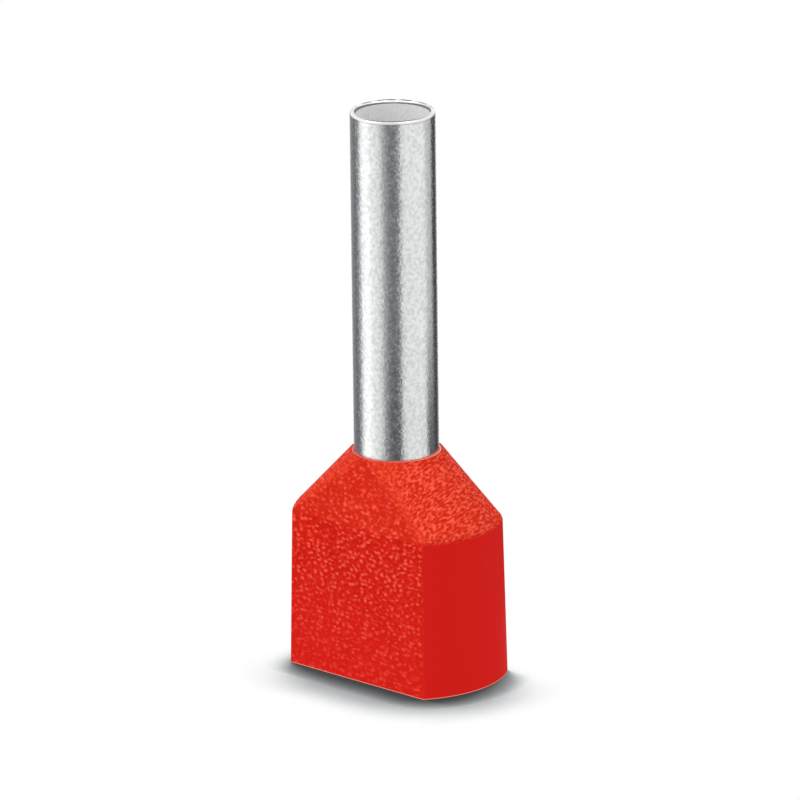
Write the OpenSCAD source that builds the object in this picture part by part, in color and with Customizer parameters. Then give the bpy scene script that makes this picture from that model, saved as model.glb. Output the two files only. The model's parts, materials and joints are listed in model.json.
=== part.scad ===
// Twin wire ferrule: a moulded insulating collar for two stranded conductors, with a thin plated copper
// sleeve standing up out of its neck. All sizes are in millimetres. +X runs along the collar's width, +Y
// through its thickness and +Z up the sleeve; the origin is at the middle of the collar's open mouth.

/* [Sleeve] */
// bore of the metal sleeve, which takes both bare conductors
bore_d = 2.13; // [1.9:0.01:2.2]
// sheet thickness of the sleeve
sleeve_wall = 0.15; // [0.12:0.01:0.2]
// length of sleeve that stands clear above the collar
exposed_len = 10; // [6:0.5:12]
// rounding on both edges of the sleeve's free rim
rim_round = 0.05; // [0.02:0.01:0.05]
// how far the sleeve's lower end sits below the top of the collar
seat_depth = 1.5; // [1.2:0.1:1.7]
// how much the sleeve's lower end flares out, in radius
flare_out = 0.13; // [0.08:0.01:0.14]
// how much higher the flare starts inside the sleeve than outside it
flare_lead = 0.1; // [0.05:0.01:0.2]

/* [Collar] */
// width of the collar across both wires, at its mouth
collar_w = 6.35; // [6.2:0.05:7]
// thickness of the collar between its broad faces, at its mouth
collar_t = 3.55; // [3.5:0.05:3.9]
// height of the collar up to the lip round the sleeve
collar_h = 6.5; // [6.3:0.1:7]
// height of the straight sides, up to where the shoulder starts to round over
side_h = 4.5; // [4.3:0.05:4.6]
// radius of the rounding between the sides and the shoulder
shoulder_r = 0.46; // [0.2:0.02:0.6]
// how far each narrow end bows out between its corners
end_bow = 0.59; // [0.3:0.01:0.9]
// radius of the four upright corners
corner_r = 0.1; // [0.06:0.02:0.3]
// draft of the sides, inside and out, in degrees
draft_deg = 0.9; // [0.5:0.1:1.2]
// thickness of the lip round the sleeve at the top of the shoulder
lip_wall = 0.12; // [0.08:0.01:0.2]

/* [Wire entry] */
// width of the two-wire entry at the mouth, round ends included
entry_w = 5.65; // [5.4:0.05:5.7]
// thickness of the two-wire entry at the mouth
entry_t = 2.85; // [2.8:0.05:2.9]
// depth of the straight part of the entry, below the funnel
entry_h = 3.9; // [3.4:0.1:4]
// chamfer round the mouth of the entry
lead_in = 0.12; // [0.05:0.01:0.15]

/* [Fit] */
// gap all round between the sleeve and the seat in the collar
seat_gap = 0.01; // [0.005:0.005:0.02]

/* [Hidden] */
bore_r = bore_d / 2;
sleeve_r = bore_r + sleeve_wall;
sleeve_top = collar_h + exposed_len;
sleeve_bottom = collar_h - seat_depth;
neck_r = sleeve_r + seat_gap;
lip_r = neck_r + lip_wall;
throat_r = neck_r + flare_out;
draft = tan(draft_deg);
// the shoulder rounding turns from the sides to just past the slope of the steeper ramps
round_turn = 54;
round_steps = 9;
// points along half a narrow end, and round each upright corner
end_steps = 14;
corner_steps = 4;
// sides of the round ends of the entry and of the funnel
entry_sides = 64;
// thickness of the flat outlines that the collar is skinned over
skin = 0.005;
// length by which a cut runs on past the surface it opens
over = 0.1;

// One corner of the collar's outline: half a bowed end, then the corner rounding
function quarter(w, t, r) =
    let (h = t / 2,
         end_r = (h * h + end_bow * end_bow) / (2 * end_bow),
         end_x = w / 2 - end_r,
         corner_y = h - r,
         corner_x = sqrt(pow(end_r - r, 2) - corner_y * corner_y),
         turn = atan2(corner_y, corner_x))
    concat(
        [for (i = [0:end_steps]) let (a = turn * i / end_steps)
            [end_x + end_r * cos(a), end_r * sin(a)]],
        [for (i = [1:corner_steps]) let (a = turn + (90 - turn) * i / corner_steps)
            [end_x + corner_x + r * cos(a), corner_y + r * sin(a)]]);

function backwards(list) = [for (i = [len(list) - 1:-1:0]) list[i]];

// Thin flat outline of the collar at one height: broad faces straight, narrow ends bowed
module collar_slice(z, inset) {
    w = collar_w - 2 * (inset + draft * z);
    t = collar_t - 2 * (inset + draft * z);
    q = quarter(w, t, corner_r);
    translate([0, 0, z])
        linear_extrude(height = skin)
            polygon(concat(
                q,
                [for (p = backwards(q)) [-p[0], p[1]]],
                [for (p = q) [-p[0], -p[1]]],
                [for (p = backwards(q)) [p[0], -p[1]]]));
}

// Outside of the collar: drafted sides, rounded shoulder and ramps that gather into the round lip
module collar_body() {
    hull() {
        collar_slice(0, 0);
        for (i = [0:round_steps]) {
            a = round_turn * i / round_steps;
            collar_slice(side_h + shoulder_r * sin(a), shoulder_r * (1 - cos(a)));
        }
        translate([0, 0, collar_h - skin])
            cylinder(r = lip_r, h = skin, $fn = entry_sides);
    }
}

// Thin flat outline of the two-wire entry: a slot with round ends
module entry_slice(z, grow) {
    r = entry_t / 2 + grow;
    x = (entry_w - entry_t) / 2;
    translate([0, 0, z])
        linear_extrude(height = skin)
            hull() {
                translate([x, 0]) circle(r = r, $fn = entry_sides);
                translate([-x, 0]) circle(r = r, $fn = entry_sides);
            }
}

// Space for the two insulated wires: chamfered mouth, drafted slot, and a funnel down to the sleeve
module wire_entry() {
    hull() {
        entry_slice(-over, lead_in + over);
        entry_slice(lead_in - skin, 0);
    }
    hull() {
        entry_slice(0, 0);
        entry_slice(entry_h, -draft * entry_h);
        translate([0, 0, sleeve_bottom])
            cylinder(r = bore_r, h = over, $fn = entry_sides);
    }
}

// Throat and tapered seat that hold the sleeve by its flare
module sleeve_seat() {
    translate([0, 0, entry_h - over])
        cylinder(r = throat_r, h = sleeve_bottom - entry_h + over, $fn = 96);
    translate([0, 0, sleeve_bottom])
        cylinder(r1 = throat_r, r2 = neck_r - over * flare_out / seat_depth, h = seat_depth + over, $fn = 96);
}

module collar() {
    color([0.85, 0.13, 0.09])
        difference() {
            collar_body();
            wire_entry();
            sleeve_seat();
        }
}

module sleeve() {
    rim_z = sleeve_top - rim_round;
    color([0.8, 0.8, 0.82])
        rotate_extrude($fn = 96)
            union() {
                polygon([
                    [bore_r + flare_out, sleeve_bottom],
                    [sleeve_r + flare_out, sleeve_bottom],
                    [sleeve_r, collar_h],
                    [sleeve_r, rim_z],
                    [bore_r, rim_z],
                    [bore_r, collar_h + flare_lead]]);
                translate([bore_r + rim_round, rim_z - rim_round])
                    square([sleeve_wall - 2 * rim_round, 2 * rim_round]);
                translate([bore_r + rim_round, rim_z]) circle(r = rim_round, $fn = 24);
                translate([sleeve_r - rim_round, rim_z]) circle(r = rim_round, $fn = 24);
            }
}

collar();
sleeve();
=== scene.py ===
import json
import math
import bmesh
import bpy
from mathutils import Matrix, Vector


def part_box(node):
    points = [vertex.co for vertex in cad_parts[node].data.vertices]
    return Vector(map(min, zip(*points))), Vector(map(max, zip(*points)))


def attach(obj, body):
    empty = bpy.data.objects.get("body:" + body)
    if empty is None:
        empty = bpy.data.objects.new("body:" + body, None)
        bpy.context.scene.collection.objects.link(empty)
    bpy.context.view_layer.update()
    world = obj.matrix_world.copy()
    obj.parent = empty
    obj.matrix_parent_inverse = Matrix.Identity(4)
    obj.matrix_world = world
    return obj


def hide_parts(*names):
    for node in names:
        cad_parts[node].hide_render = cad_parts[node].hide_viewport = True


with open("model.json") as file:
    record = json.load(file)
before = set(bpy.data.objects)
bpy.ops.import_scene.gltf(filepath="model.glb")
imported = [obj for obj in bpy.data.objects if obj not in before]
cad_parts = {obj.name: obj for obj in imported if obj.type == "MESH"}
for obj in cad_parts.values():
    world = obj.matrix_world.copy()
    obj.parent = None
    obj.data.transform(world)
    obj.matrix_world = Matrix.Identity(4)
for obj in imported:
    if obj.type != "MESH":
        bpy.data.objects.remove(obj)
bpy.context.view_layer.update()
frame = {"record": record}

# Looks of the twin wire ferrule: a grained red collar and a satin tin-plated sleeve.
# Shapes are worked out in millimetres and made into meshes in metres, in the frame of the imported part.

MM = 0.001
MOUNTS = {mount["name"]: mount for mount in frame["record"]["mounts"]}
COLLAR_LOW, COLLAR_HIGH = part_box("collar")
SLEEVE_LOW, SLEEVE_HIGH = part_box("sleeve")

# Collar, mm
COLLAR_W = (COLLAR_HIGH.x - COLLAR_LOW.x) / MM
COLLAR_T = (COLLAR_HIGH.y - COLLAR_LOW.y) / MM
COLLAR_H = COLLAR_HIGH.z / MM
SIDE_H = 4.5            # height of the upright sides
SHOULDER_R = 0.46       # rounding where the sides turn into the shoulder
END_BOW = 0.59          # outward bow of the two narrow ends
CORNER_R = 0.1          # rounding of the upright edges
LIP_WALL = 0.12         # wall left round the sleeve at the top
DRAFT = math.tan(math.radians(0.9))     # slope of the sides

# Wire entry, mm
ENTRY_W = 5.65
ENTRY_T = 2.85
ENTRY_H = 3.9
LEAD_IN = 0.12          # chamfer round the mouth

# Sleeve, mm
BORE_R = MOUNTS["conductor_bore"]["dims"]["r_mm"]
SLEEVE_R = MOUNTS["sleeve_outside"]["dims"]["r_mm"]
SLEEVE_TOP = SLEEVE_HIGH.z / MM
SLEEVE_BOTTOM = SLEEVE_LOW.z / MM
RIM_ROUND = 0.07        # rounding of the free rim, inside and outside
RIM_Z = SLEEVE_TOP - RIM_ROUND
SEAT_GAP = 0.01         # between the sleeve and the collar
FLARE_OUT = 0.13        # how far the lower end flares out
FLARE_LEAD = 0.1        # height above the collar at which the bore has narrowed
NECK_R = SLEEVE_R + SEAT_GAP
LIP_R = NECK_R + LIP_WALL
THROAT_R = NECK_R + FLARE_OUT

# Painted highlights, pale lines along the collar's foot and lip: depth in mm, and strength
FOOT_LINE = 0.02
FOOT_PAINTED_HIGHLIGHT = 0.6
LIP_LINE = 0.045
LIP_PAINTED_HIGHLIGHT = 0.5          # least strength, away from the light thrown off the sleeve
LIP_HIGHLIGHT_TURN = 40.0    # degrees from +X to where it is full
LINE_FADE = 1.2         # share of its depth at which a pale line has faded out

# Moulded grain, by height in mm
GRAIN_FOOT = 0.45       # share of the grain at the foot
GRAIN_WEAK_HEIGHT = 0.8        # height up to which it stays at its share at the foot
GRAIN_RISE = 2.2        # further height over which it becomes full
GRAIN_TURN = 0.12       # height over which it sets in above the smooth narrow ends
GRAIN_INSIDE = 0.25

# Painted shade on the sleeve's cut rim, dark lines round it and a dark front crown: heights in mm or as
# shares of the rounding, and strengths
SHADE_LINE_DEPTH = 0.035        # depth of the line below the rounding
LINE_STEP = 0.006       # height over which a line fades
LINE_INSIDE = 0.85
LINE_OUTSIDE = 0.7
LINE_RISE = 0.08        # how far the inside line climbs the rounding at the front and the rear
LINE_RISE_SIDE = 0.70   # and how much further at the sides
REAR_SHADE_INSIDE = 0.82      # from where the painted dark line at the rear shows on the inside of the rounding
REAR_SHADE_FALL = 1.7         # how fast the painted dark line dies away from the rear
CROWN_INSIDE = 0.55     # from where the crown of the front is painted dark
CROWN_OUTSIDE = 0.84
FRONT_SHADE = 0.25      # darkness of the front below its crown
FRONT_FALL = 3          # how fast both die away from the front

# Camera
VIEW_TURN = 43.0        # degrees round the part, from its broad front
VIEW_LIFT = 17.2        # degrees above the floor
VIEW_ROLL = -0.68
VIEW_DISTANCE = 333.0   # mm
VIEW_HEIGHT = 8.789     # mm, height of the point looked at
VIEW_RIGHT = 0.125      # mm, how far the aim lies to the right of that point
VIEW_DOWN = 0.796       # mm, how far the aim lies below it
LENS = 528.5            # mm
SENSOR = 36.0           # mm
CLIP = (0.01, 2.0)      # m

# Mesh steps
END_STEPS = 26
CORNER_STEPS = 6
SIDE_STEPS = 40
LOW_ROWS = 60
SHOULDER_ROWS = 10
RAMP_ROWS = 36
SLOT_ROWS = 10
FUNNEL_ROWS = 8
THROAT_ROWS = 3
SEAT_ROWS = 4
SLEEVE_SIDES = 256
FLARE_ROWS = 8
TUBE_ROWS = 24
RIM_STEPS = 16
CARD_STEPS = 24
HALVINGS = 40           # of the range in which an angle is sought
SHOULDER_LIMIT = 80.0   # degrees, beyond where any ramp meets the shoulder
NEAR = 0.01             # mm, how close a point counts as on a surface
JOIN = 1e-8             # m, how close two points count as one
SHARP_TURN = 30.0       # degrees from which an edge stays sharp


# ---------------------------------------------------------------- meshes

def make_object(name, verts, faces, **layers):
    """Makes an object from millimetre points; each layer is a named number for every point."""
    mesh = bpy.data.meshes.new(name)
    mesh.from_pydata([Vector(v) * MM for v in verts], [], faces)
    for layer, values in layers.items():
        mesh.attributes.new(layer, "FLOAT", "POINT").data.foreach_set("value", values)
    mesh.validate()
    obj = bpy.data.objects.new(name, mesh)
    bpy.context.scene.collection.objects.link(obj)
    return obj


def clean(obj):
    """Joins doubled points, points every face outwards and marks the sharp edges."""
    bm = bmesh.new()
    bm.from_mesh(obj.data)
    bmesh.ops.remove_doubles(bm, verts=bm.verts, dist=JOIN)
    bmesh.ops.dissolve_degenerate(bm, edges=bm.edges, dist=JOIN)
    bmesh.ops.recalc_face_normals(bm, faces=bm.faces)
    bm.to_mesh(obj.data)
    bm.free()
    obj.data.shade_smooth()
    obj.data.set_sharp_from_angle(angle=math.radians(SHARP_TURN))


def outline_quarter(z, inset):
    """First quarter of the collar's plan outline at height z, as (x, y, nx, ny) from +X round to +Y."""
    w = COLLAR_W - 2 * (inset + DRAFT * z)
    t = COLLAR_T - 2 * (inset + DRAFT * z)
    h = t / 2
    end_r = (h * h + END_BOW * END_BOW) / (2 * END_BOW)
    end_x = w / 2 - end_r
    corner_y = h - CORNER_R
    corner_x = math.sqrt((end_r - CORNER_R) ** 2 - corner_y ** 2)
    turn = math.atan2(corner_y, corner_x)
    points = []
    for i in range(END_STEPS + 1):
        a = turn * i / END_STEPS
        points.append((end_x + end_r * math.cos(a), end_r * math.sin(a), math.cos(a), math.sin(a)))
    for i in range(1, CORNER_STEPS + 1):
        a = turn + (math.pi / 2 - turn) * i / CORNER_STEPS
        points.append((end_x + corner_x + CORNER_R * math.cos(a), corner_y + CORNER_R * math.sin(a),
                       math.cos(a), math.sin(a)))
    side_x = end_x + corner_x
    for i in range(1, SIDE_STEPS + 1):
        points.append((side_x * (1 - i / SIDE_STEPS), h, 0.0, 1.0))
    return points


def shoulder_point(column, a):
    """Point and plan normal on the shoulder's rounding, at angle a up from the side."""
    z = SIDE_H + SHOULDER_R * math.sin(a)
    x, y, nx, ny = outline_quarter(z, SHOULDER_R * (1 - math.cos(a)))[column]
    return x, y, z, nx, ny


def shoulder_turn(column):
    """Angle at which the shoulder's rounding meets the straight ramp to the lip, for one column."""
    low, high = 0.0, math.radians(SHOULDER_LIMIT)
    for _ in range(HALVINGS):
        middle = (low + high) / 2
        x, y, z, nx, ny = shoulder_point(column, middle)
        reach = x * nx + y * ny
        if math.sin(middle) * (COLLAR_H - z) + math.cos(middle) * (LIP_R - reach) < 0:
            low = middle
        else:
            high = middle
    return (low + high) / 2


def outer_columns():
    """Outside of the collar's first quarter: for each column its points from the mouth up to the lip."""
    sole = outline_quarter(0.0, FOOT_LINE)
    heights = [0.0, FOOT_LINE, FOOT_LINE * LINE_FADE]
    heights += [SIDE_H * i / LOW_ROWS for i in range(1, LOW_ROWS + 1)]
    lower = [outline_quarter(z, 0) for z in heights]
    columns = []
    for c in range(len(sole)):
        points = [(sole[c][0], sole[c][1], 0.0)]
        points += [(row[c][0], row[c][1], z) for row, z in zip(lower, heights)]
        turn = shoulder_turn(c)
        for i in range(1, SHOULDER_ROWS + 1):
            x, y, z, nx, ny = shoulder_point(c, turn * i / SHOULDER_ROWS)
            points.append((x, y, z))
        for i in range(1, RAMP_ROWS + 1):
            f = i / RAMP_ROWS
            points.append((x + (LIP_R * nx - x) * f, y + (LIP_R * ny - y) * f, z + (COLLAR_H - z) * f))
        columns.append(points)
    return columns


def entry_quarter(grow):
    """First quarter of the two-wire slot, matched column by column with the collar's outline."""
    r = ENTRY_T / 2 + grow
    reach = (ENTRY_W - ENTRY_T) / 2
    round_steps = END_STEPS + CORNER_STEPS
    points = []
    for i in range(round_steps + 1):
        a = math.pi / 2 * i / round_steps
        points.append((reach + r * math.cos(a), r * math.sin(a), math.cos(a), math.sin(a)))
    for i in range(1, SIDE_STEPS + 1):
        points.append((reach * (1 - i / SIDE_STEPS), r, 0.0, 1.0))
    return points


def funnel_end(x0, y0, dx, dy):
    """Share of the funnel's straight line at which it comes in to the throat's radius."""
    a, b, k = dx * dx + dy * dy, x0 * dx + y0 * dy, x0 * x0 + y0 * y0 - THROAT_R ** 2
    return (-b - math.sqrt(max(b * b - a * k, 0.0))) / a if k > 0 else 0.0


def inner_columns():
    """Inside of the collar's first quarter: slot, funnel, throat and the seat round the sleeve."""
    mouth, slot, top = entry_quarter(LEAD_IN), entry_quarter(0), entry_quarter(-DRAFT * ENTRY_H)
    columns = []
    for c in range(len(mouth)):
        points = [(mouth[c][0], mouth[c][1], 0.0)]
        x0, y0, nx, ny = top[c]
        for i in range(SLOT_ROWS + 1):
            f = i / SLOT_ROWS
            points.append((slot[c][0] + (x0 - slot[c][0]) * f, slot[c][1] + (y0 - slot[c][1]) * f,
                           LEAD_IN + (ENTRY_H - LEAD_IN) * f))
        dx, dy = BORE_R * nx - x0, BORE_R * ny - y0
        end = funnel_end(x0, y0, dx, dy)
        for i in range(1, FUNNEL_ROWS + 1):
            f = end * i / FUNNEL_ROWS
            points.append((x0 + dx * f, y0 + dy * f, ENTRY_H + (SLEEVE_BOTTOM - ENTRY_H) * f))
        xt, yt, zt = points[-1]
        around = math.atan2(yt, xt)
        rings = []
        for i in range(1, THROAT_ROWS + 1):
            rings.append((THROAT_R, zt + (SLEEVE_BOTTOM - zt) * i / THROAT_ROWS))
        for i in range(1, SEAT_ROWS + 1):
            f = i / SEAT_ROWS
            rings.append((THROAT_R + (NECK_R - THROAT_R) * f, SLEEVE_BOTTOM + (COLLAR_H - SLEEVE_BOTTOM) * f))
        rings += [(NECK_R + LIP_LINE, COLLAR_H), (NECK_R + LIP_LINE * LINE_FADE, COLLAR_H)]
        points += [(r * math.cos(around), r * math.sin(around), z) for r, z in rings]
        columns.append(points)
    return columns


def full_turn(quarter):
    """Mirrors the columns of the first quarter round to all four, going anticlockwise."""
    second = [[(-x, y, z) for x, y, z in column] for column in reversed(quarter[:-1])]
    half = quarter + second
    rest = [[(x, -y, z) for x, y, z in column] for column in reversed(half[1:-1])]
    return half + rest


def full_order(count):
    """Number in the first quarter of each column of the full turn."""
    half = list(range(count)) + list(reversed(range(count - 1)))
    return half + list(reversed(half[1:-1]))


def share(value, start, length):
    """0 up to the start, rising to 1 over the length."""
    return min(max((value - start) / length, 0.0), 1.0)


def grain_amount(column, z):
    """How strongly the moulded grain shows: weaker near the foot, full higher up, absent on the narrow ends.
    """
    sides = max(share(column, END_STEPS, CORNER_STEPS), share(z, SIDE_H, GRAIN_TURN))
    return sides * (GRAIN_FOOT + (1.0 - GRAIN_FOOT) * share(z, GRAIN_WEAK_HEIGHT, GRAIN_RISE))


def lip_painted_highlight(x, y):
    """Strength of the painted highlight along the lip's top, which is full where it faces the brightly lit +X
    side.
    """
    toward = max(0.0, math.cos(math.atan2(y, x) - math.radians(LIP_HIGHLIGHT_TURN)))
    return LIP_PAINTED_HIGHLIGHT + (1.0 - LIP_PAINTED_HIGHLIGHT) * toward ** 2


def make_collar():
    """The moulded collar as one closed mesh: outside, mouth ring, inside and lip ring."""
    quarter = outer_columns()
    outer, inner = full_turn(quarter), full_turn(inner_columns())
    columns, rows_out, rows_in = len(outer), len(outer[0]), len(inner[0])
    verts, grain, lip, faces = [], [], [], []
    for column, number in zip(outer, full_order(len(quarter))):
        verts.extend(column)
        grain.extend([grain_amount(number, z) for x, y, z in column])
        # Painted highlight: a pale line along the foot.
        lip.extend([0.0] + [FOOT_PAINTED_HIGHLIGHT] * 2 + [0.0] * (rows_out - 3))
    first_in = len(verts)
    for column in inner:
        verts.extend(column)
        grain.extend([GRAIN_INSIDE] * rows_in)
        # Painted highlight: a pale line along the lip's top, strongest on the lit +X side.
        glow = lip_painted_highlight(*column[-1][:2])
        lip.extend([0.0] * (rows_in - 3) + [glow, glow, 0.0])
    for c in range(columns):
        n = (c + 1) % columns
        out_c, out_n = c * rows_out, n * rows_out
        in_c, in_n = first_in + c * rows_in, first_in + n * rows_in
        for r in range(rows_out - 1):
            faces.append((out_c + r, out_n + r, out_n + r + 1, out_c + r + 1))
        for r in range(rows_in - 1):
            faces.append((in_n + r, in_c + r, in_c + r + 1, in_n + r + 1))
        faces.append((out_n, out_c, in_c, in_n))
        faces.append((out_c + rows_out - 1, out_n + rows_out - 1, in_n + rows_in - 1, in_c + rows_in - 1))
    collar = make_object("collar_moulding", verts, faces, grain=grain, lip=lip)
    clean(collar)
    return collar


def sleeve_profile():
    """Cross-section of the sleeve as (radius, height) points, up the inside and down the outside."""
    bore_z = COLLAR_H + FLARE_LEAD
    line_z = RIM_Z - SHADE_LINE_DEPTH
    points = []
    for i in range(FLARE_ROWS + 1):
        f = i / FLARE_ROWS
        points.append((BORE_R + FLARE_OUT * (1 - f), SLEEVE_BOTTOM + (bore_z - SLEEVE_BOTTOM) * f))
    for i in range(1, TUBE_ROWS + 1):
        points.append((BORE_R, bore_z + (line_z - bore_z) * i / TUBE_ROWS))
    points += [(BORE_R, line_z + LINE_STEP), (BORE_R, RIM_Z - LINE_STEP), (BORE_R, RIM_Z)]
    for i in range(1, RIM_STEPS + 1):
        a = math.pi / 2 * i / RIM_STEPS
        points.append((BORE_R + RIM_ROUND * (1 - math.cos(a)), RIM_Z + RIM_ROUND * math.sin(a)))
    for i in range(RIM_STEPS + 1):
        a = math.pi / 2 * (1 - i / RIM_STEPS)
        points.append((SLEEVE_R - RIM_ROUND * (1 - math.cos(a)), RIM_Z + RIM_ROUND * math.sin(a)))
    points.append((SLEEVE_R, line_z + LINE_STEP))
    for i in range(TUBE_ROWS + 1):
        points.append((SLEEVE_R, line_z + (COLLAR_H - line_z) * i / TUBE_ROWS))
    for i in range(1, FLARE_ROWS + 1):
        f = i / FLARE_ROWS
        points.append((SLEEVE_R + FLARE_OUT * f, COLLAR_H + (SLEEVE_BOTTOM - COLLAR_H) * f))
    return points


def sleeve_marks(r, z, a):
    """Where a point of the sleeve lies: in the bore, on the rim, on its painted dark lines and crown, and on
    the painted dark line at its rear.
    """
    half = LINE_STEP / 2
    inner = r < (BORE_R + SLEEVE_R) / 2
    in_line = RIM_Z - SHADE_LINE_DEPTH + half < z < RIM_Z - half
    on_rim = z > RIM_Z - half
    turn = a - math.radians(VIEW_TURN)
    rear = 0.5 + 0.5 * math.sin(turn)
    front = (1.0 - rear) ** FRONT_FALL
    climb = RIM_ROUND * (LINE_RISE + LINE_RISE_SIDE * math.cos(turn) ** 2)
    bore = 1.0 if r < BORE_R + NEAR or z < SLEEVE_BOTTOM + NEAR else 0.0
    cut = z > RIM_Z + REAR_SHADE_INSIDE * RIM_ROUND or (not inner and z > RIM_Z + half)
    burr = rear ** REAR_SHADE_FALL if cut else 0.0
    # Painted shade: dark lines round the rim, a dark crown and shade on its front, and a dark line at its
    # rear, placed by the view.
    edge = 0.0
    if inner and (in_line or (on_rim and z < RIM_Z + climb)):
        edge = LINE_INSIDE
    elif z > RIM_Z + (CROWN_INSIDE if inner else CROWN_OUTSIDE) * RIM_ROUND:
        edge = front
    elif z > RIM_Z + half:
        edge = FRONT_SHADE * front
    elif in_line:
        edge = LINE_OUTSIDE
    return bore, 1.0 if on_rim else 0.0, edge, burr


def make_sleeve():
    """The plated sleeve, turned from its profile."""
    profile = sleeve_profile()
    rows = len(profile)
    verts, marks, faces = [], [], []
    for s in range(SLEEVE_SIDES):
        a = 2 * math.pi * s / SLEEVE_SIDES
        for r, z in profile:
            verts.append((r * math.cos(a), r * math.sin(a), z))
            marks.append(sleeve_marks(r, z, a))
    for s in range(SLEEVE_SIDES):
        n = (s + 1) % SLEEVE_SIDES
        for r in range(rows):
            q = (r + 1) % rows
            faces.append((s * rows + r, s * rows + q, n * rows + q, n * rows + r))
    bore, rim, edge, burr = zip(*marks)
    sleeve = make_object("plated_sleeve", verts, faces, bore=bore, rim=rim, edge=edge, burr=burr)
    clean(sleeve)
    return sleeve


# ---------------------------------------------------------------- nodes

def new_material(name):
    material = bpy.data.materials.new(name)
    material.use_nodes = True
    material.node_tree.nodes.clear()
    return material, material.node_tree


def add(tree, kind, inputs=None, **settings):
    """Adds a node; inputs maps a socket's name or number to a value or to another node's output."""
    node = tree.nodes.new(kind)
    for key, value in settings.items():
        setattr(node, key, value)
    for key, value in (inputs or {}).items():
        socket = node.inputs[key]
        if isinstance(value, bpy.types.NodeSocket):
            tree.links.new(value, socket)
        else:
            socket.default_value = value
    return node


def attribute(tree, name):
    return add(tree, "ShaderNodeAttribute", attribute_name=name).outputs["Fac"]


def math_node(tree, operation, a, b=0.0, clamp=False):
    return add(tree, "ShaderNodeMath", {0: a, 1: b}, operation=operation, use_clamp=clamp).outputs[0]


def vector_node(tree, operation, a, b):
    return add(tree, "ShaderNodeVectorMath", {0: a, 1: b}, operation=operation).outputs[0]


def scaled(tree, vector, amount):
    return add(tree, "ShaderNodeVectorMath", {0: vector, "Scale": amount}, operation="SCALE").outputs[0]


def weighted(tree, a, share_a, b, share_b):
    """The sum of a and b, each times its share."""
    return math_node(tree, "ADD", math_node(tree, "MULTIPLY", a, share_a),
                     math_node(tree, "MULTIPLY", b, share_b))


def ramp(tree, factor, stops, mode="LINEAR"):
    """A colour ramp; stops are (position, grey level or colour)."""
    node = add(tree, "ShaderNodeValToRGB", {"Fac": factor})
    node.color_ramp.interpolation = mode
    elements = node.color_ramp.elements
    while len(elements) < len(stops):
        elements.new(0.5)
    for element, (position, value) in zip(elements, stops):
        element.position = position
        colour = value if isinstance(value, tuple) else (value, value, value)
        element.color = (*colour, 1.0)
    return node.outputs["Color"]


def rising(tree, factor, low, high):
    """0 where the factor is at low or under, 1 where it is at high or over."""
    return ramp(tree, factor, [(low, 0.0), (high, 1.0)])


def mix_colour(tree, factor, a, b):
    """Goes from colour a to colour b; a Mix node of colours takes them on its sockets 6 and 7."""
    return add(tree, "ShaderNodeMix", {0: factor, 6: a, 7: b}, data_type="RGBA").outputs[2]


def noise(tree, place, scale, detail, roughness, distortion):
    """Noise from 0 to 1; its scale is in waves per metre."""
    return add(tree, "ShaderNodeTexNoise", {"Vector": place, "Scale": scale, "Detail": detail,
                                            "Roughness": roughness, "Distortion": distortion}).outputs["Fac"]


def raised(tree, height, depth):
    """Normals of a relief whose height runs from 0 to 1 over the given depth in mm."""
    node = add(tree, "ShaderNodeBump", {"Height": height, "Strength": 1.0, "Distance": depth * MM})
    return node.outputs["Normal"]


def finish_surface(tree, shader):
    add(tree, "ShaderNodeOutputMaterial", {"Surface": shader.outputs[0]})


# ---------------------------------------------------------------- collar's plastic

# Colours: linear red, green, blue and 1
RED_END = (0.685, 0.0140, 0.0110, 1.0)          # smooth narrow ends
RED_DEEP = (0.56, 0.0085, 0.0027, 1.0)          # between the grains of the sides: random mottle, partly painted shade in the hollows
RED_BODY = (0.73, 0.0185, 0.0095, 1.0)
RED_RAMP_PAINTED_LIT = (0.80, 0.054, 0.023, 1.0)            # the ramps, painted lighter and more orange where they face up to the light
RED_RAMP_DEEP_PAINTED_LIT = (0.61, 0.020, 0.006, 1.0)
RED_CROWN_HIGHLIGHT = (1.0, 0.127, 0.078, 1.0)            # painted highlight on the crowns of the grains
RED_PAINTED_HIGHLIGHT = (1.0, 0.42, 0.31, 1.0)                # painted highlight of the pale lines along the foot and the lip
RED_GLOSS = (1.0, 0.24, 0.15, 1.0)              # tint of the gloss

# Noises: waves per metre, detail, roughness and distortion
PEBBLES = (11000.0, 0.0, 0.5, 0.2)
GRIT = (13000.0, 2.0, 0.5, 0.0)
RIPPLES = (15500.0, 0.0, 0.5, 0.2)
FINE_TOOTH = (20000.0, 2.0, 0.6, 0.0)
PATCHES = (900.0, 2.0, 0.5, 0.0)

# Where each sets in and where it is full
RAMP_TILT = (0.08, 0.36)        # by the upward part of the surface's normal
END_TILT = (0.15, 0.55)         # by the sideways part
PEBBLE_RANGE = (0.28, 0.72)     # by the level of its noise
GRIT_RANGE = (0.25, 0.75)
RIPPLE_RANGE = (0.25, 0.75)
PATCH_RANGE = (0.35, 0.65)
CROWN_RANGE = (0.42, 1.0)       # by the height of the relief

# Beads
BEAD_SCALE = 7100.0     # cells per metre
BEAD_UNEVEN = 0.86      # how unevenly they lie
BEAD_WIDE = 0.68        # squeeze of x that makes them wide
BEAD_SIDE = [(0.02, 1.0), (0.64, 0.0)]      # height by the distance from a bead's middle
BEAD_TALL = [(0.22, 0.36), (0.80, 1.0)]     # height by a random level for each bead
WAVER = 0.35            # mm, how far their rows waver
WAVER_SCALE = 2600.0    # waves per metre
WAVER_SQUEEZE = (0.3, 1.6, 0.3)

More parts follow.
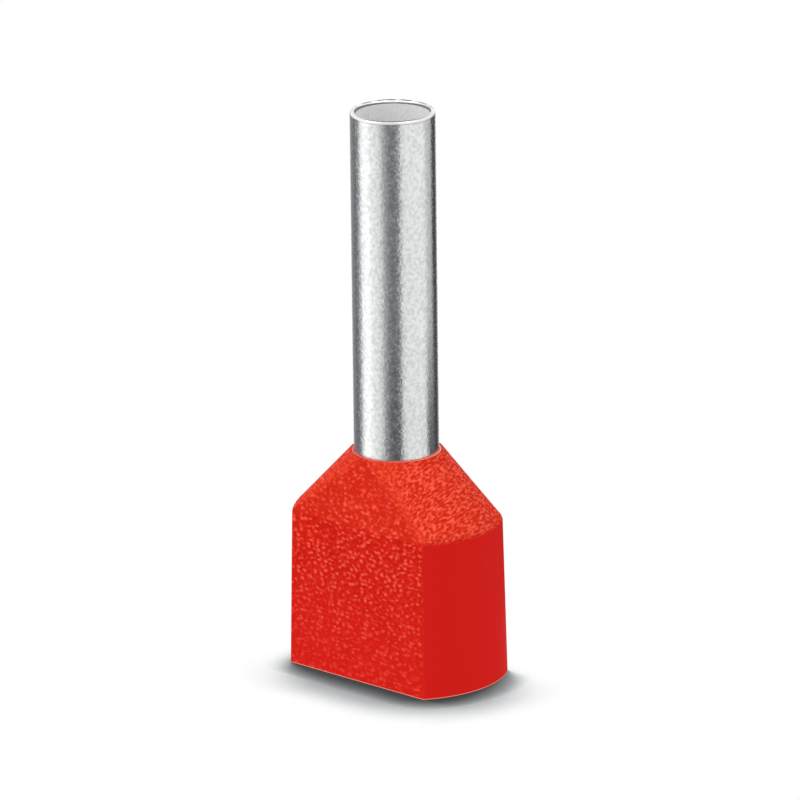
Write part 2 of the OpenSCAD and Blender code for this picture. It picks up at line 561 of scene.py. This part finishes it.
# Relief and finish
PEBBLE_SQUEEZE = (0.7, 1.0, 1.0)
RIPPLE_RUN = Vector((-0.163, 1.0, 0.147)).normalized()      # direction of the ripples
RIPPLE_DRAWN = 0.60     # how far they are drawn out along it
BEAD_SHARE = 0.76       # beads and pebbles that make up the relief of the sides
PEBBLE_SHARE = 0.46
RAMP_GRIT = 0.75        # how far grit takes over from the beads on the broad ramps
CROWN_HIGHLIGHT_SHARE = 0.79      # how much of the painted highlight on the crowns shows
PATCH_SHARE = 0.3       # patches and pebbles that vary the body's colour: the patches at random, the pebbles as painted shade in the relief's hollows
PEBBLE_SHADE_SHARE = 0.7
FINE_SHARE = 0.02
RED_RELIEF = 0.022      # mm
RED_ROUGH = 0.52
CROWN_SMOOTH = 0.16     # how much smoother the crowns are
RED_SHINE = 0.01        # the gloss's level, and as much again where there is grain


def grain_place(tree, place):
    """Flat (x, z) coordinates for the beads, wavering with depth so that no bead is drawn out along y."""
    squeezed = vector_node(tree, "MULTIPLY", place, WAVER_SQUEEZE)
    wave = add(tree, "ShaderNodeTexNoise", {"Vector": squeezed, "Scale": WAVER_SCALE, "Detail": 0.0})
    bent = vector_node(tree, "ADD", place, scaled(tree, wave.outputs["Color"], WAVER * MM))
    parts = add(tree, "ShaderNodeSeparateXYZ", {0: bent}).outputs
    wide = math_node(tree, "MULTIPLY", parts["X"], BEAD_WIDE)
    return add(tree, "ShaderNodeCombineXYZ", {"X": wide, "Y": parts["Z"]}).outputs[0]


def beads(tree, place):
    """Beads of uneven height: up to 1 on each crown, falling to 0 between them."""
    cells = add(tree, "ShaderNodeTexVoronoi",
                {"Vector": grain_place(tree, place), "Scale": BEAD_SCALE, "Randomness": BEAD_UNEVEN},
                feature="F1", voronoi_dimensions="2D").outputs
    return math_node(tree, "MULTIPLY", ramp(tree, cells["Distance"], BEAD_SIDE, "EASE"),
                     ramp(tree, cells["Color"], BEAD_TALL))


def ripples(tree, place):
    """Fine waves drawn out along the ramps at the narrow ends."""
    along = add(tree, "ShaderNodeVectorMath", {0: place, 1: RIPPLE_RUN}, operation="DOT_PRODUCT")
    along = math_node(tree, "MULTIPLY", along.outputs["Value"], RIPPLE_DRAWN)
    drawn = vector_node(tree, "SUBTRACT", place, scaled(tree, RIPPLE_RUN, along))
    return rising(tree, noise(tree, drawn, *RIPPLES), *RIPPLE_RANGE)


def red_plastic():
    """Moulded red polypropylene: a fine beaded grain, rippled on the ramps and absent on the narrow ends; its
    colour has painted highlights on the grain's crowns and along the foot and lip, painted shade in the
    hollows, and ramps painted lighter where they face up.
    """
    material, tree = new_material("red_moulded_grain")
    place = add(tree, "ShaderNodeTexCoord").outputs["Object"]
    grain = attribute(tree, "grain")
    normal = add(tree, "ShaderNodeNewGeometry").outputs["True Normal"]
    normal = add(tree, "ShaderNodeSeparateXYZ", {0: normal}).outputs
    facing_up = rising(tree, normal["Z"], *RAMP_TILT)
    end_on = rising(tree, math_node(tree, "ABSOLUTE", normal["X"]), *END_TILT)

    wide = vector_node(tree, "MULTIPLY", place, PEBBLE_SQUEEZE)
    pebble = rising(tree, noise(tree, wide, *PEBBLES), *PEBBLE_RANGE)
    grit = rising(tree, noise(tree, wide, *GRIT), *GRIT_RANGE)
    sides = weighted(tree, pebble, PEBBLE_SHARE, beads(tree, place), BEAD_SHARE)
    wave = mix_colour(tree, end_on, grit, ripples(tree, place))
    turned = math_node(tree, "MAXIMUM", end_on, math_node(tree, "MULTIPLY", facing_up, RAMP_GRIT))
    relief = mix_colour(tree, turned, sides, wave)
    crown_highlight_and_smooth = math_node(tree, "MULTIPLY", rising(tree, relief, *CROWN_RANGE), grain)

    patches = rising(tree, noise(tree, place, *PATCHES), *PATCH_RANGE)
    mottle_and_hollow_shade = weighted(tree, patches, PATCH_SHARE, pebble, PEBBLE_SHADE_SHARE)
    # Body colour: random mottle, with painted shade where the pebbly relief is low.
    body = mix_colour(tree, mottle_and_hollow_shade, RED_DEEP, RED_BODY)
    # Painted light: faces turned up are painted lighter and more orange, with the ripples' hollows painted
    # darker than their crests.
    body = mix_colour(tree, facing_up, body, mix_colour(tree, wave, RED_RAMP_DEEP_PAINTED_LIT, RED_RAMP_PAINTED_LIT))
    body = mix_colour(tree, grain, RED_END, body)
    # Painted highlight: the crowns of the grain are painted a bright orange red.
    colour = mix_colour(tree, math_node(tree, "MULTIPLY", crown_highlight_and_smooth, CROWN_HIGHLIGHT_SHARE), body, RED_CROWN_HIGHLIGHT)
    # Painted highlight: pale lines along the foot and the lip's top.
    colour = mix_colour(tree, attribute(tree, "lip"), colour, RED_PAINTED_HIGHLIGHT)

    rough = math_node(tree, "SUBTRACT", RED_ROUGH, math_node(tree, "MULTIPLY", crown_highlight_and_smooth, CROWN_SMOOTH))
    gloss = math_node(tree, "ADD", math_node(tree, "MULTIPLY", grain, RED_SHINE), RED_SHINE)
    height = weighted(tree, relief, grain, noise(tree, place, *FINE_TOOTH), FINE_SHARE)
    shader = add(tree, "ShaderNodeBsdfPrincipled", {
        "Base Color": colour, "Roughness": rough, "Specular IOR Level": gloss, "Specular Tint": RED_GLOSS,
        "Normal": raised(tree, height, RED_RELIEF)})
    finish_surface(tree, shader)
    return material


# ---------------------------------------------------------------- sleeve's plating

TIN_BRIGHT = (0.840, 0.845, 0.845, 1.0)
TIN_DULL = (0.685, 0.69, 0.695, 1.0)
TIN_BORE = (0.865, 0.87, 0.865, 1.0)
# Painted highlight: the rim is painted near white.
TIN_RIM_PAINTED_HIGHLIGHT = (0.98, 0.98, 0.98, 1.0)
# Painted shade: the colour of the dark lines and crown on the rim.
TIN_PAINTED_SHADE = (0.07, 0.07, 0.075, 1.0)

# Noises: waves per metre, detail, roughness and distortion
SPECKLES = (9600.0, 0.0, 0.5, 0.0)
TOOTH = (11000.0, 3.0, 0.6, 0.0)
SPOTS = (11500.0, 0.5, 0.5, 0.0)
BREAKS = (2600.0, 2.0, 0.5, 0.0)
CLOUDS = (1200.0, 2.0, 0.5, 0.0)

# By the level of its noise: where each sets in and is full, and how much is left of the painted dark line at
# the rear
SPECKLE_RANGE = (0.28, 0.66)
SPOT_RANGE = (0.35, 0.75)
REAR_SHADE_LEFT = [(0.38, 0.15), (0.52, 1.0)]

TIN_RELIEF = 0.0078     # mm
TIN_ROUGH = 0.105       # least roughness, and what spots, clouds and the bore add to it
SPOT_ROUGH = 0.20
CLOUD_ROUGH = 0.05
BORE_ROUGH = 0.40
BORE_MATT = 0.85        # share of the bore and of the rim that isn't mirrorlike metal, so that the rim's painted highlight shows
RIM_MATT = 0.50


def tin_plating():
    """Satin tin plating: mottled grain outside, dull in the bore, a cut rim painted with a near-white
    highlight and with dark lines of painted shade.
    """
    material, tree = new_material("satin_tin_plating")
    place = add(tree, "ShaderNodeTexCoord").outputs["Object"]
    bore, rim, edge, burr = (attribute(tree, name) for name in ("bore", "rim", "edge", "burr"))

    speckle = rising(tree, noise(tree, place, *SPECKLES), *SPECKLE_RANGE)
    colour = mix_colour(tree, speckle, TIN_DULL, TIN_BRIGHT)
    colour = mix_colour(tree, bore, colour, TIN_BORE)
    # Painted highlight: the rim is near white.
    colour = mix_colour(tree, rim, colour, TIN_RIM_PAINTED_HIGHLIGHT)
    # Painted shade: dark lines and crown on the rim, and the broken dark line at its rear.
    broken = ramp(tree, noise(tree, place, *BREAKS), REAR_SHADE_LEFT)
    dark = math_node(tree, "MAXIMUM", edge, math_node(tree, "MULTIPLY", burr, broken))
    colour = mix_colour(tree, dark, colour, TIN_PAINTED_SHADE)

    spot = rising(tree, noise(tree, place, *SPOTS), *SPOT_RANGE)
    rough = weighted(tree, spot, SPOT_ROUGH, noise(tree, place, *CLOUDS), CLOUD_ROUGH)
    rough = math_node(tree, "ADD", rough, TIN_ROUGH)
    rough = math_node(tree, "ADD", rough, math_node(tree, "MULTIPLY", bore, BORE_ROUGH))
    metal = math_node(tree, "SUBTRACT", 1.0, weighted(tree, bore, BORE_MATT, rim, RIM_MATT))
    height = math_node(tree, "MULTIPLY", noise(tree, place, *TOOTH), math_node(tree, "SUBTRACT", 1.0, rim))
    shader = add(tree, "ShaderNodeBsdfPrincipled", {
        "Base Color": colour, "Roughness": rough, "Metallic": metal,
        "Normal": raised(tree, height, TIN_RELIEF)})
    finish_surface(tree, shader)
    return material


# ---------------------------------------------------------------- studio

# The part's shadow: a short dark one at its foot and a longer soft one, both falling towards the view
SHADOW_NEAR = (2.0, 0.9)    # lean as a slope, reach in mm
SHADOW_FAR = (5.0, 2.6)
SHADOW_NEAR_SHARE = 0.35
SHADOW_RAYS = 16
# share of the sky left open, grey level there
SHADOW_TONES = [(0.52, 0.05), (0.584, 0.11), (0.644, 0.19), (0.703, 0.27), (0.762, 0.397), (0.822, 0.617),
                (0.881, 0.86), (0.941, 1.0)]
SHADOW_LESS_RED = 0.02      # how much bluer than grey the darkest tone is
SHADOW_MORE_BLUE = 0.03
FLOOR_HALF = 400.0          # mm
FLOOR_CLEAR = 0.002         # mm below the part's foot, so that the foot can be seen from below

WHITE = (1.0, 1.0, 1.0, 1.0)
FILL = 0.80                 # strength of the world on the part's dull surfaces
LAMPS = [
    # name, direction it comes from, strength, width in degrees
    ("lamp_key", (-0.35, -0.75, 0.75), 0.9, 28),
    ("lamp_top", (0.55, 0.10, 1.0), 0.56, 35),
]

CARD_RADIUS = 7.5           # mm
CARD_TOP = 17.0
CARD_FOOT = 5.0             # height up to which a card keeps the level of its foot
CARD_BODY = 9.0             # height from which it has its full level
CARD_TINTS = [(0.1, (0.975, 0.985, 1.05)), (0.95, (0.985, 1.0, 0.99))]     # by level
CARDS = [
    # name, first and last degrees from the view, level at each, level of the foot beside the rest
    ("card_rear_left", -155, -112, 0.38, 0.14, 0.90),
    ("card_side_left", -112, -94, 0.19, 0.48, 0.90),
    ("softbox_left", -94, -66, 1.16, 1.42, 1.00),
    ("card_left", -66, -32, 1.13, 0.83, 0.96),
    ("flag_left", -31, -8, 0.56, 0.17, 0.66),
    ("flag_front", -8, 16, 0.195, 0.23, 0.54),
    ("softbox_right", 17, 83, 0.93, 0.985, 0.95),
    ("softbox_right_edge", 83, 89, 0.985, 0.99, 0.50),
    ("card_right", 89, 114, 0.60, 0.60, 0.20),
    ("card_side_right", 114, 130, 0.11, 0.03, 1.00),
    ("card_rear_right", 130, 150, 0.05, 0.13, 1.00),
    ("softbox_rear", 150, 205, 0.87, 1.00, 1.00),
]


def seen_directly(tree):
    """1 for camera, glossy and transmission rays, 0 for the rays that carry diffuse light."""
    path = add(tree, "ShaderNodeLightPath").outputs
    seen = math_node(tree, "ADD", path["Is Camera Ray"], path["Is Glossy Ray"], clamp=True)
    return math_node(tree, "ADD", seen, path["Is Transmission Ray"], clamp=True)


def open_sky(tree, lean, reach):
    """Share of the sky left open round a point of the floor, weighted away from the view by the lean."""
    turn = math.radians(VIEW_TURN)
    away = Vector((-lean * math.sin(turn), lean * math.cos(turn), 1.0)).normalized()
    toward = add(tree, "ShaderNodeCombineXYZ", {"X": away.x, "Y": away.y, "Z": away.z}).outputs[0]
    return add(tree, "ShaderNodeAmbientOcclusion", {"Distance": reach * MM, "Normal": toward},
               samples=SHADOW_RAYS).outputs["AO"]


def cool_grey(tone):
    """A grey that is slightly blue, the more so the darker it is."""
    dark = 1.0 - tone
    return tone * (1.0 - SHADOW_LESS_RED * dark), tone, tone * (1.0 + SHADOW_MORE_BLUE * dark)


def floor_material():
    """White floor that darkens only in the part's own soft shadow, cast forward from above and behind."""
    material, tree = new_material("studio_floor")
    sky = weighted(tree, open_sky(tree, *SHADOW_NEAR), SHADOW_NEAR_SHARE,
                   open_sky(tree, *SHADOW_FAR), 1.0 - SHADOW_NEAR_SHARE)
    tone = ramp(tree, sky, [(open_share, cool_grey(tone)) for open_share, tone in SHADOW_TONES])
    shown = add(tree, "ShaderNodeEmission", {"Color": tone, "Strength": 1.0})
    clear = add(tree, "ShaderNodeBsdfTransparent")
    back = add(tree, "ShaderNodeNewGeometry").outputs["Backfacing"]
    solid = math_node(tree, "MULTIPLY", seen_directly(tree), math_node(tree, "SUBTRACT", 1.0, back))
    floor = add(tree, "ShaderNodeMixShader", {0: solid, 1: clear.outputs[0], 2: shown.outputs[0]})
    finish_surface(tree, floor)
    return material


def add_floor():
    s = FLOOR_HALF
    corners = [(x, y, -FLOOR_CLEAR) for x, y in ((-s, -s), (s, -s), (s, s), (-s, s))]
    floor = make_object("floor", corners, [(0, 1, 2, 3)])
    floor.data.materials.append(floor_material())


def card_material():
    """Glowing card whose grey level is graded from one side to the other."""
    material, tree = new_material("graded_card")
    level = attribute(tree, "level")
    glow = add(tree, "ShaderNodeEmission", {"Color": ramp(tree, level, CARD_TINTS), "Strength": level})
    finish_surface(tree, glow)
    return material


def add_card(material, name, start, end, level_start, level_end, foot):
    """An upright curved card standing round the part, seen only in reflections."""
    rows = ((0.0, foot), (CARD_FOOT, foot), (CARD_BODY, 1.0), (CARD_TOP, 1.0))
    count = len(rows)
    toward = VIEW_TURN - 90.0
    verts, faces, levels = [], [], []
    for i in range(CARD_STEPS + 1):
        f = i / CARD_STEPS
        a = math.radians(toward + start + (end - start) * f)
        for z, part in rows:
            verts.append((CARD_RADIUS * math.cos(a), CARD_RADIUS * math.sin(a), z))
            levels.append((level_start + (level_end - level_start) * f) * part)
    for i in range(CARD_STEPS):
        for r in range(count - 1):
            a, b = count * i + r, count * (i + 1) + r
            faces.append((a, b, b + 1, a + 1))
    card = make_object(name, verts, faces, level=levels)
    card.data.materials.append(material)
    card.visible_camera = False
    card.visible_diffuse = False
    card.visible_shadow = False
    card.visible_transmission = False


def add_lamp(name, direction, strength, width):
    """A soft distant lamp shining from the given direction."""
    data = bpy.data.lights.new(name, "SUN")
    data.energy = strength
    data.angle = math.radians(width)
    lamp = bpy.data.objects.new(name, data)
    lamp.rotation_euler = Vector(direction).to_track_quat("Z", "Y").to_euler()
    bpy.context.scene.collection.objects.link(lamp)


def add_world():
    """White where it is seen or mirrored, and a little weaker as light on the part."""
    world = bpy.data.worlds.new("studio")
    world.use_nodes = True
    tree = world.node_tree
    tree.nodes.clear()
    fill = add(tree, "ShaderNodeBackground", {"Color": WHITE, "Strength": FILL})
    white = add(tree, "ShaderNodeBackground", {"Color": WHITE, "Strength": 1.0})
    both = add(tree, "ShaderNodeMixShader", {0: seen_directly(tree), 1: fill.outputs[0], 2: white.outputs[0]})
    add(tree, "ShaderNodeOutputWorld", {"Surface": both.outputs[0]})
    bpy.context.scene.world = world


def camera_axes():
    """Right, up and back directions of the camera, rolled slightly as the view is."""
    a, e, roll = (math.radians(v) for v in (VIEW_TURN, VIEW_LIFT, VIEW_ROLL))
    back = Vector((math.sin(a) * math.cos(e), -math.cos(a) * math.cos(e), math.sin(e)))
    right = Vector((math.cos(a), math.sin(a), 0.0))
    up = back.cross(right)
    return right * math.cos(roll) + up * math.sin(roll), up * math.cos(roll) - right * math.sin(roll), back


def add_camera():
    right, up, back = camera_axes()
    data = bpy.data.cameras.new("camera")
    data.sensor_width = SENSOR
    data.lens = LENS
    data.clip_start, data.clip_end = CLIP
    camera = bpy.data.objects.new("camera", data)
    target = Vector((0.0, 0.0, VIEW_HEIGHT)) * MM
    aim = target + (right * VIEW_RIGHT - up * VIEW_DOWN) * MM
    place = target + back * VIEW_DISTANCE * MM
    look = (place - aim).normalized()
    side = up.cross(look).normalized()
    matrix = Matrix((side, look.cross(side), look)).transposed().to_4x4()
    matrix.translation = place
    camera.matrix_world = matrix
    bpy.context.scene.collection.objects.link(camera)
    bpy.context.scene.camera = camera


def build_studio():
    add_world()
    add_floor()
    material = card_material()
    for card in CARDS:
        add_card(material, *card)
    for lamp in LAMPS:
        add_lamp(*lamp)
    add_camera()
    bpy.context.scene.view_settings.view_transform = "Standard"


def build_part():
    collar = make_collar()
    collar.data.materials.append(red_plastic())
    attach(collar, "root")
    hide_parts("collar")
    sleeve = make_sleeve()
    sleeve.data.materials.append(tin_plating())
    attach(sleeve, "root")
    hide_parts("sleeve")


build_part()
build_studio()
